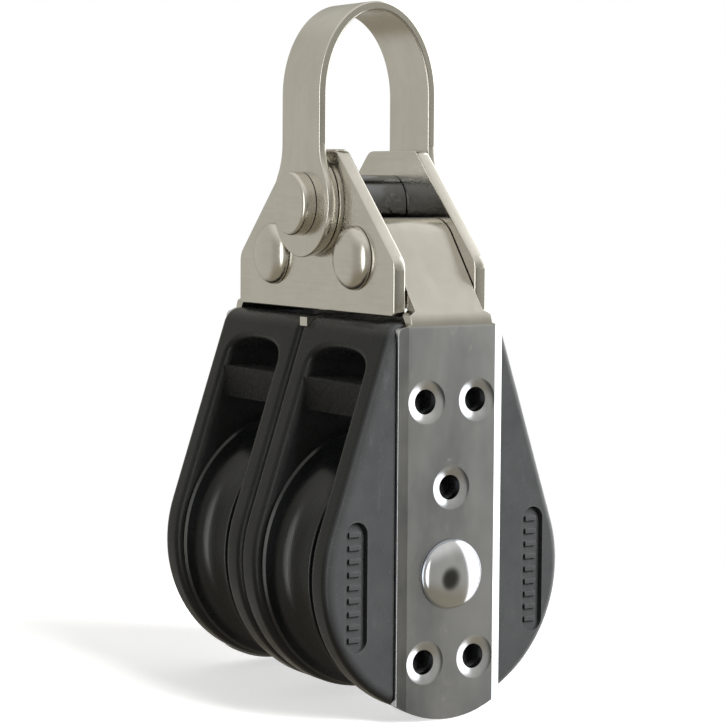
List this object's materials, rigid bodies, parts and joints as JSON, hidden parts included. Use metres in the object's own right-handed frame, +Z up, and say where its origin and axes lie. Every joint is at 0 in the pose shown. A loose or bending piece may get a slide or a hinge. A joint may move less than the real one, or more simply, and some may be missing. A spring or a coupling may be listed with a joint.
{
  "type": "double sheave block",
  "caption": "Pulley block with twin grooved sheaves side by side in moulded cheeks, steel side straps and a riveted head with a swinging bow.",
  "frame": {"origin": "middle of the block's foot, at its lowest point; the sheave axle is 21.1 mm above it", "axes": "+X along the axle, -Y out of the front rope bays, +Z up the block towards the bow"},
  "size_m": [0.0554, 0.041, 0.1042],
  "materials": {
    "black_nylon": "moulded black, soft sheen",
    "sheave_nylon": "turned black, smooth groove",
    "bush_bronze": "sintered bronze",
    "polished_steel": "mirror polished stainless",
    "satin_steel": "satin stainless"
  },
  "bodies": {
    "block": {"shell_left": "black_nylon", "shell_right": "black_nylon", "centre_plate": "satin_steel", "strap_left": "polished_steel", "strap_right": "polished_steel", "axle_pin": "polished_steel", "thrust_washer_left_outer": "satin_steel", "thrust_washer_left_inner": "satin_steel", "thrust_washer_right_outer": "satin_steel", "thrust_washer_right_inner": "satin_steel", "head_plate_front": "satin_steel", "head_plate_rear": "satin_steel", "head_rivet_left": "satin_steel", "head_rivet_right": "satin_steel", "rivet_bush_left": "satin_steel", "rivet_bush_right": "satin_steel", "pivot_pin": "satin_steel", "pivot_spacer": "satin_steel", "ear_washer_front": "satin_steel", "ear_washer_rear": "satin_steel"},
    "sheave_left": {"sheave_left": "sheave_nylon", "sheave_bush_left": "bush_bronze"},
    "sheave_right": {"sheave_right": "sheave_nylon", "sheave_bush_right": "bush_bronze"},
    "bow": {"bow": "satin_steel"}
  },
  "joints": [
    {"name": "sheave_left_spin", "type": "hinge", "parent": "block", "child": "sheave_left", "pos_m": [-0.0122, 0, 0.0211], "axis": [1, 0, 0], "continuous": true},
    {"name": "sheave_right_spin", "type": "hinge", "parent": "block", "child": "sheave_right", "pos_m": [0.0122, 0, 0.0211], "axis": [1, 0, 0], "continuous": true},
    {"name": "bow_swing", "type": "hinge", "parent": "block", "child": "bow", "pos_m": [0, 0, 0.074], "axis": [0, 1, 0], "range_deg": [-72, 72]}
  ]
}
